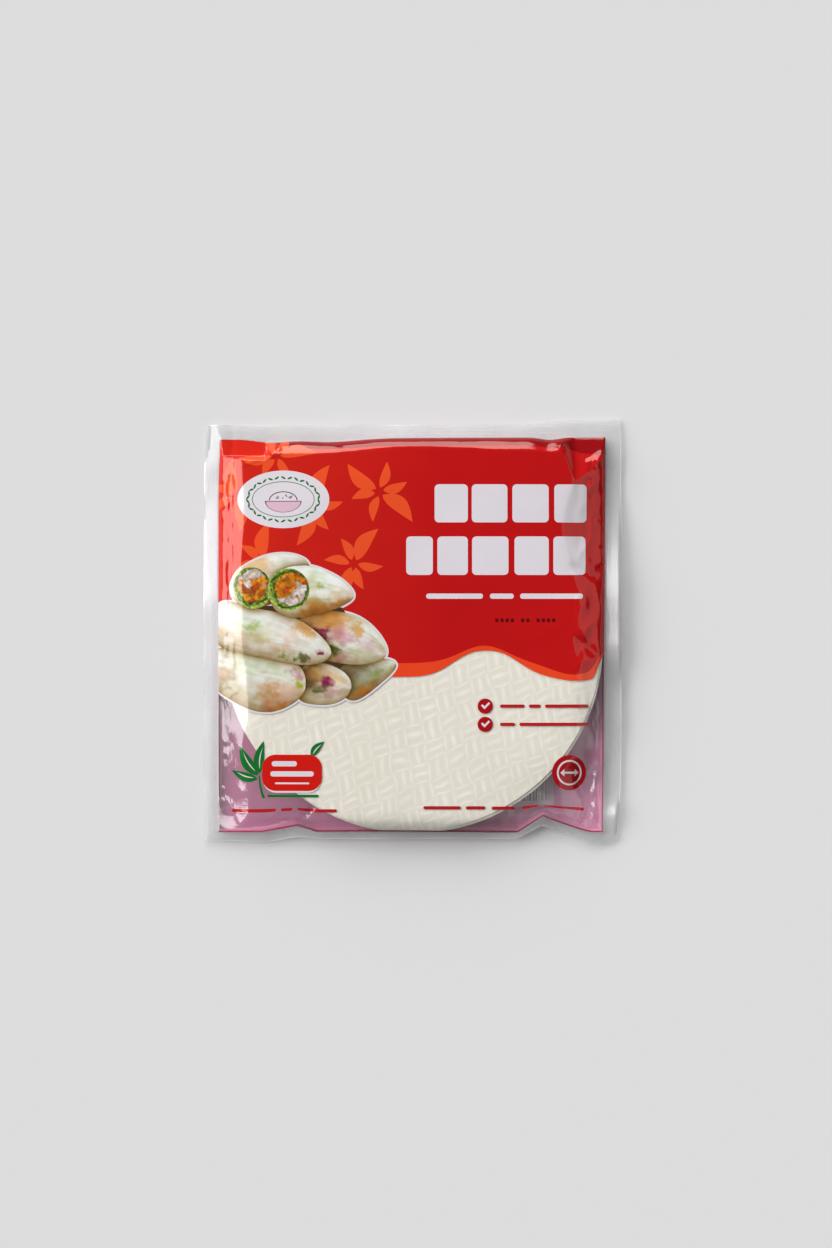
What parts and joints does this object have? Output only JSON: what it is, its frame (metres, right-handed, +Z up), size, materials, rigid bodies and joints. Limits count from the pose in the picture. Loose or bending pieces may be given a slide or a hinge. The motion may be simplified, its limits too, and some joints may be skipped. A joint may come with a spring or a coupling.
{
  "type": "sealed pack of rice paper wrappers",
  "caption": "Flat square clear bag with a printed front, welded on all sides round a stack of round rice paper wrappers, lying on its back.",
  "frame": {"origin": "middle of the flat underside, on the surface the pack lies on", "axes": "+X to the right across the printed face, +Y up the printed face, +Z up out of the printed face"},
  "size_m": [0.24, 0.2442, 0.016],
  "materials": {
    "printed_film": "glossy clear film printed in red on the inside",
    "rice_paper": "matt dried rice sheet with a woven imprint"
  },
  "bodies": {
    "root": {"sealed_bag": "printed_film"}
  },
  "joints": []
}
